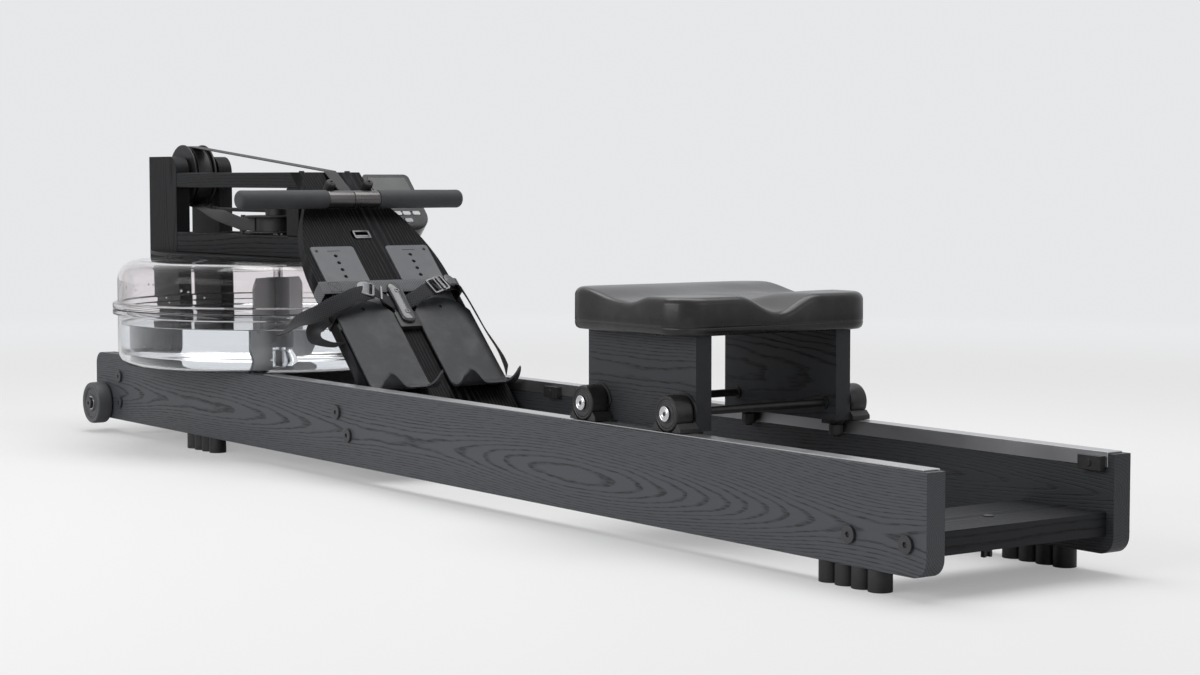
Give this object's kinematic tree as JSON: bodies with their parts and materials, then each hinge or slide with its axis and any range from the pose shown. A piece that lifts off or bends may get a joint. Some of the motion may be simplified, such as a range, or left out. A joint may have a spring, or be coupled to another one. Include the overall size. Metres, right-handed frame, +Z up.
{
  "type": "water rowing machine",
  "caption": "Water rowing machine with twin wooden rails, a sliding seat, a lean-back footboard and a clear drum-shaped water tank driven by a strap.",
  "frame": {"origin": "on the floor, in the middle of the overall length and width", "axes": "+X from the tank end towards the seat's rear end, +Y to the right of a person seated facing the tank, +Z up"},
  "size_m": [2.098, 0.536, 0.4965],
  "materials": {
    "stained_ash": "black stained ash with open grain, satin",
    "rail_track": "satin drawn",
    "black_hardware": "black oxide, satin",
    "steel": "satin",
    "rubber": "matt",
    "wheel_plastic": "matt moulded",
    "black_plastic": "fine grain moulded",
    "plate_plastic": "fine grain moulded",
    "tank_clear": "clear, faint smoke tint",
    "water": "still and clear",
    "paddle_plastic": "moulded",
    "strap_web": "woven nylon",
    "cord_cover": "braided cover",
    "grip_foam": "closed cell foam, matt",
    "sleeve_metal": "satin bronze brown",
    "seat_skin": "self-skinned foam, satin",
    "monitor_plastic": "moulded, semi gloss",
    "screen_glass": "display window",
    "key_plastic": "pale keys",
    "buckle_metal": "worn, speckled grey"
  },
  "bodies": {
    "root": {"rail_left": "stained_ash", "rail_right": "stained_ash", "seat_tracks": "rail_track", "rear_spreader": "stained_ash", "front_spreader": "stained_ash", "foot_spreader": "stained_ash", "frame_bolts": "black_hardware", "rail_stops": "rubber", "rubber_feet": "rubber", "front_posts": "stained_ash", "post_bumpers": "rubber", "upper_beams": "stained_ash", "lower_beams": "stained_ash", "rear_braces": "stained_ash", "top_deck": "stained_ash", "tank_lower": "tank_clear", "tank_upper": "tank_clear", "tank_seal": "rubber", "tank_water": "water", "shaft_bearing": "black_plastic", "guide_roller": "wheel_plastic", "pulley_axle": "steel", "pulley_cheeks": "black_plastic", "strap_run": "strap_web", "strap_return": "strap_web", "recoil_cord": "cord_cover", "footboard": "stained_ash", "handle_pegs": "rubber", "footplates": "plate_plastic", "foot_straps": "strap_web", "foot_buckles": "buckle_metal", "strap_clip": "black_plastic", "monitor_case": "monitor_plastic", "monitor_screen": "screen_glass"},
    "seat": {"seat_pad": "seat_skin", "seat_panels": "stained_ash", "seat_axles": "steel", "wheel_shoes": "black_plastic", "roller_brackets": "black_hardware"},
    "seat_wheels_front": {"seat_wheels_front": "wheel_plastic"},
    "seat_wheels_rear": {"seat_wheels_rear": "wheel_plastic"},
    "roller_front_left": {"roller_front_left": "wheel_plastic"},
    "roller_front_right": {"roller_front_right": "wheel_plastic"},
    "roller_rear_left": {"roller_rear_left": "wheel_plastic"},
    "roller_rear_right": {"roller_rear_right": "wheel_plastic"},
    "transport_wheel_left": {"transport_wheel_left": "wheel_plastic"},
    "transport_wheel_right": {"transport_wheel_right": "wheel_plastic"},
    "paddle": {"paddle": "paddle_plastic", "paddle_shaft": "steel"},
    "drum": {"strap_drum": "black_plastic"},
    "pulley": {"top_pulley": "black_plastic"},
    "handle": {"handle_bar": "steel", "handle_grips": "grip_foam", "handle_sleeves": "sleeve_metal"},
    "heel_left": {"heel_left": "plate_plastic"},
    "heel_right": {"heel_right": "plate_plastic"},
    "key_left": {"key_left": "key_plastic"},
    "key_middle": {"key_middle": "key_plastic"},
    "key_right": {"key_right": "key_plastic"},
    "key_lower": {"key_lower": "key_plastic"}
  },
  "joints": [
    {"name": "seat_slide", "type": "slide", "parent": "root", "child": "seat", "axis": [1, 0, 0], "range_m": [-0.43, 0.39]},
    {"name": "seat_wheels_front_roll", "type": "hinge", "parent": "seat", "child": "seat_wheels_front", "pos_m": [0.426, 0, 0.1605], "axis": [0, 1, 0], "continuous": true},
    {"name": "seat_wheels_rear_roll", "type": "hinge", "parent": "seat", "child": "seat_wheels_rear", "pos_m": [0.599, 0, 0.1605], "axis": [0, 1, 0], "continuous": true},
    {"name": "roller_front_left_roll", "type": "hinge", "parent": "seat", "child": "roller_front_left", "pos_m": [0.426, -0.1167, 0.126], "axis": [0, 0, 1], "continuous": true},
    {"name": "roller_front_right_roll", "type": "hinge", "parent": "seat", "child": "roller_front_right", "pos_m": [0.426, 0.1167, 0.126], "axis": [0, 0, 1], "continuous": true},
    {"name": "roller_rear_left_roll", "type": "hinge", "parent": "seat", "child": "roller_rear_left", "pos_m": [0.599, -0.1167, 0.126], "axis": [0, 0, 1], "continuous": true},
    {"name": "roller_rear_right_roll", "type": "hinge", "parent": "seat", "child": "roller_rear_right", "pos_m": [0.599, 0.1167, 0.126], "axis": [0, 0, 1], "continuous": true},
    {"name": "transport_wheel_left_roll", "type": "hinge", "parent": "root", "child": "transport_wheel_left", "pos_m": [-1.0125, -0.168, 0.0505], "axis": [0, 1, 0], "continuous": true},
    {"name": "transport_wheel_right_roll", "type": "hinge", "parent": "root", "child": "transport_wheel_right", "pos_m": [-1.0125, 0.168, 0.0505], "axis": [0, 1, 0], "continuous": true},
    {"name": "paddle_spin", "type": "hinge", "parent": "root", "child": "paddle", "pos_m": [-0.66, 0, 0.2], "axis": [0, 0, 1], "continuous": true},
    {"name": "handle_pull", "type": "slide", "parent": "root", "child": "handle", "axis": [1, 0, 0], "range_m": [0, 1.15], "stiffness_N_per_m": 20, "springref_m": -0.6, "deforming": ["strap_run"]},
    {"name": "drum_spin", "type": "hinge", "parent": "root", "child": "drum", "pos_m": [-0.66, 0, 0.37], "axis": [0, 0, 1], "continuous": true},
    {"name": "top_pulley_spin", "type": "hinge", "parent": "root", "child": "pulley", "pos_m": [-0.975, 0, 0.4425], "axis": [0, 1, 0], "continuous": true},
    {"name": "heel_left_adjust", "type": "slide", "parent": "root", "child": "heel_left", "axis": [-0.7193, 0, 0.6947], "range_m": [0, 0.058]},
    {"name": "heel_right_adjust", "type": "slide", "parent": "root", "child": "heel_right", "axis": [-0.7193, 0, 0.6947], "range_m": [0, 0.058]},
    {"name": "key_left_press", "type": "slide", "parent": "root", "child": "key_left", "axis": [-0.6947, 0, -0.7193], "range_m": [0, 0.0008], "stiffness_N_per_m": 2500, "springref_m": -0.0002},
    {"name": "key_middle_press", "type": "slide", "parent": "root", "child": "key_middle", "axis": [-0.6947, 0, -0.7193], "range_m": [0, 0.0008], "stiffness_N_per_m": 2500, "springref_m": -0.0002},
    {"name": "key_right_press", "type": "slide", "parent": "root", "child": "key_right", "axis": [-0.6947, 0, -0.7193], "range_m": [0, 0.0008], "stiffness_N_per_m": 2500, "springref_m": -0.0002},
    {"name": "key_lower_press", "type": "slide", "parent": "root", "child": "key_lower", "axis": [-0.6947, 0, -0.7193], "range_m": [0, 0.0008], "stiffness_N_per_m": 2500, "springref_m": -0.0002}
  ],
  "couplings": [
    {"joint": "seat_wheels_front_roll", "follows": "seat_slide", "rad_per_m": 45.455},
    {"joint": "seat_wheels_rear_roll", "follows": "seat_slide", "rad_per_m": 45.455},
    {"joint": "drum_spin", "follows": "handle_pull", "rad_per_m": 25.445},
    {"joint": "top_pulley_spin", "follows": "handle_pull", "rad_per_m": 19.493}
  ]
}
